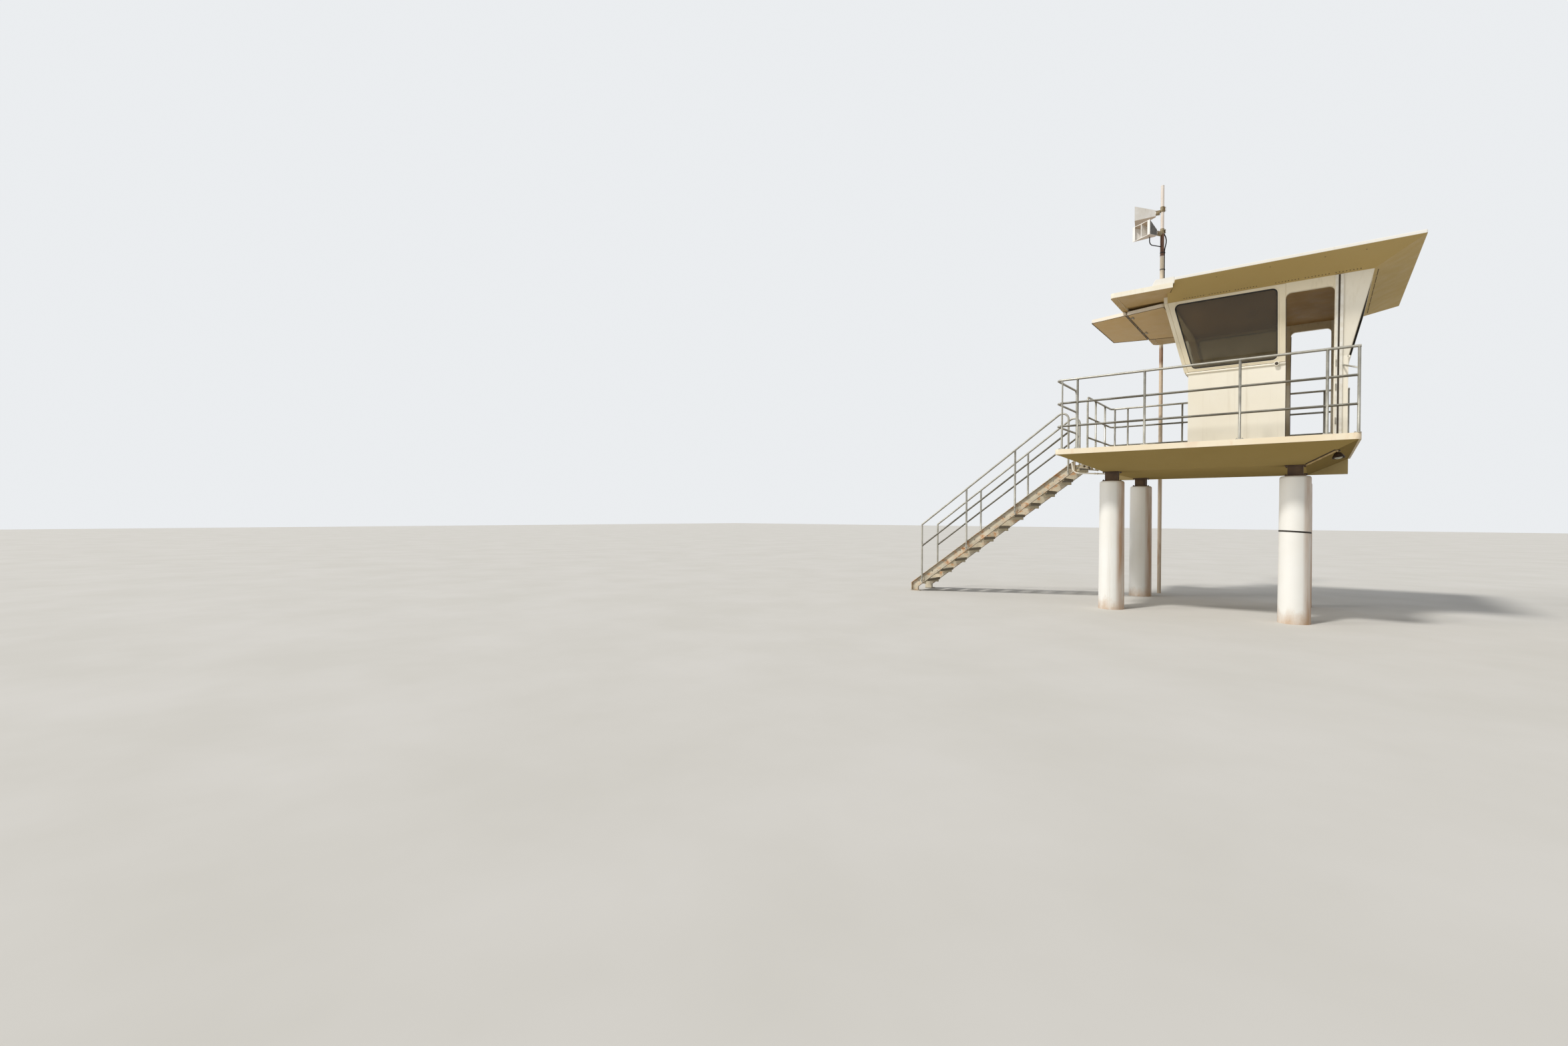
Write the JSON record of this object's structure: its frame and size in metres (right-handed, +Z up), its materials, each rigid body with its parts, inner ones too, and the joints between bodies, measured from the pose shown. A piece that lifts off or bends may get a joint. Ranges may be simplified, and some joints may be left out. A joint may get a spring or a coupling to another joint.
{
  "type": "lifeguard tower",
  "caption": "Raised lifeguard tower: a moulded deck and cabin with leaning windows on four round columns, a steel stair, tube rails, an end visor and a mast with two horns.",
  "frame": {"origin": "centre of the near left column's foot, on the ground", "axes": "+X along the deck from the stair end to the closed end, +Y from the near side to the far side, +Z up"},
  "size_m": [7.28, 3.8696, 7.8],
  "materials": {
    "column_paint": "matt paint on concrete",
    "dark_steel": "weathered brown paint",
    "gelcoat": "weathered cream gelcoat",
    "deck_gelcoat": "weathered cream gelcoat, non-slip on top",
    "roof_gelcoat": "weathered white gelcoat",
    "shutter_gelcoat": "weathered cream gelcoat",
    "window_glass": "dark tinted",
    "steel_tube": "satin stainless",
    "stair_steel": "galvanised with rust",
    "tread_board": "cream composite planks",
    "mast_paint": "weathered paint",
    "horn_shell": "satin",
    "lamp_housing": "black powder coat"
  },
  "bodies": {
    "root": {"near_left_column": "column_paint", "near_right_column": "column_paint", "far_left_column": "column_paint", "far_right_column": "column_paint", "column_heads": "dark_steel", "deck_pan": "gelcoat", "far_bulkhead": "gelcoat", "deck_floor": "deck_gelcoat", "near_lower_wall": "gelcoat", "near_window_wall": "gelcoat", "near_door_post": "gelcoat", "near_door_head": "gelcoat", "far_lower_wall": "gelcoat", "far_window_wall": "gelcoat", "far_door_post": "gelcoat", "far_door_head": "gelcoat", "left_lower_wall": "gelcoat", "left_opening_wall": "gelcoat", "right_lower_wall": "gelcoat", "right_window_wall": "gelcoat", "near_window_glass": "window_glass", "far_window_glass": "window_glass", "right_window_glass": "window_glass", "cabin_ceiling": "gelcoat", "near_soffit": "gelcoat", "far_soffit": "gelcoat", "right_soffit": "gelcoat", "roof_top": "roof_gelcoat", "end_visor": "gelcoat", "upper_shutter_leaf": "shutter_gelcoat", "lower_shutter_leaf": "shutter_gelcoat", "shutter_fittings": "steel_tube", "roof_cap": "roof_gelcoat", "mast": "mast_paint", "mast_brackets": "mast_paint", "upper_horn": "horn_shell", "lower_horn": "horn_shell", "horn_cable": "lamp_housing", "rail_posts": "steel_tube", "near_rail_bars": "steel_tube", "far_rail_bars": "steel_tube", "left_rail_bars": "steel_tube", "rail_tie": "steel_tube", "stair_stringers": "stair_steel", "stair_treads": "tread_board", "stair_handrail_posts": "steel_tube", "stair_handrails": "steel_tube", "stair_rail_bends": "steel_tube", "under_deck_lamp": "lamp_housing"}
  },
  "joints": []
}
